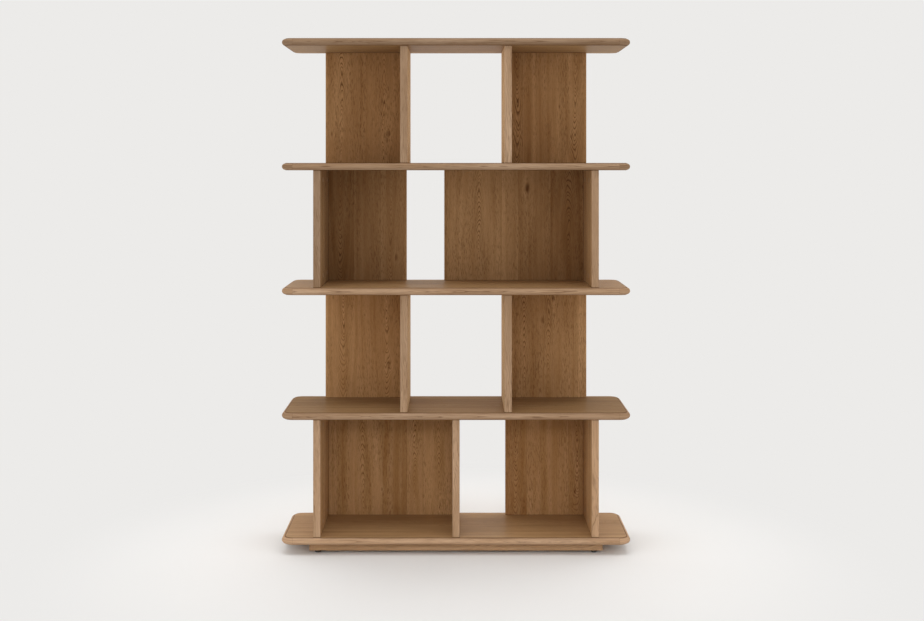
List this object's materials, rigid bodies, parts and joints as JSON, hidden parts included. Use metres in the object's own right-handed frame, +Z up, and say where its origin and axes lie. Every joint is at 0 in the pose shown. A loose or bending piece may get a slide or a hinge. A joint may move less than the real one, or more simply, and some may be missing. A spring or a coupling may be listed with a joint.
{
  "type": "staggered bookcase",
  "caption": "Tall free-standing open oak bookcase: round-cornered shelves on staggered uprights and back panels, with open gaps and a recessed plinth.",
  "frame": {"origin": "on the floor, under the middle of the shelves", "axes": "+X to the right as seen from the front, +Y to the rear, +Z up; the front faces -Y"},
  "size_m": [1.2, 0.36, 1.772],
  "materials": {
    "shelf_oak": "satin lacquered oak veneer, grain along the shelf",
    "lipping_oak": "satin lacquered solid oak",
    "upright_oak": "satin lacquered oak veneer, upright grain",
    "panel_oak": "satin lacquered oak veneer, upright grain",
    "plinth_oak": "satin lacquered solid oak",
    "dowel_beech": "raw beech",
    "fixing_steel": "zinc plated steel",
    "cam_zinc": "bright die-cast zinc alloy",
    "cap_plastic": "matt plastic in the colour of the oak",
    "glide_plastic": "matt black plastic"
  },
  "bodies": {
    "root": {"bottom_shelf": "shelf_oak", "bottom_shelf_edge": "lipping_oak", "floor_glides": "glide_plastic", "lower_shelf": "shelf_oak", "lower_shelf_edge": "lipping_oak", "middle_shelf": "shelf_oak", "middle_shelf_edge": "lipping_oak", "plinth_dowels": "dowel_beech", "plinth_front_rail": "plinth_oak", "plinth_left_rail": "plinth_oak", "plinth_middle_rail": "plinth_oak", "plinth_rear_rail": "plinth_oak", "plinth_right_rail": "plinth_oak", "plinth_screws": "fixing_steel", "tier_1_cam_bolts": "fixing_steel", "tier_1_cam_caps": "cap_plastic", "tier_1_cams": "cam_zinc", "tier_1_dowels": "dowel_beech", "tier_1_left_back": "panel_oak", "tier_1_left_divider": "upright_oak", "tier_1_right_back": "panel_oak", "tier_1_right_divider": "upright_oak", "tier_2_cam_bolts": "fixing_steel", "tier_2_cam_caps": "cap_plastic", "tier_2_cams": "cam_zinc", "tier_2_dowels": "dowel_beech", "tier_2_left_back": "panel_oak", "tier_2_left_side": "upright_oak", "tier_2_right_back": "panel_oak", "tier_2_right_side": "upright_oak", "tier_3_cam_bolts": "fixing_steel", "tier_3_cam_caps": "cap_plastic", "tier_3_cams": "cam_zinc", "tier_3_dowels": "dowel_beech", "tier_3_left_back": "panel_oak", "tier_3_left_divider": "upright_oak", "tier_3_right_back": "panel_oak", "tier_3_right_divider": "upright_oak", "tier_4_cam_bolts": "fixing_steel", "tier_4_cam_caps": "cap_plastic", "tier_4_cams": "cam_zinc", "tier_4_dowels": "dowel_beech", "tier_4_left_back": "panel_oak", "tier_4_left_side": "upright_oak", "tier_4_middle_divider": "upright_oak", "tier_4_right_back": "panel_oak", "tier_4_right_side": "upright_oak", "top_shelf": "shelf_oak", "top_shelf_edge": "lipping_oak", "upper_shelf": "shelf_oak", "upper_shelf_edge": "lipping_oak"}
  },
  "joints": []
}
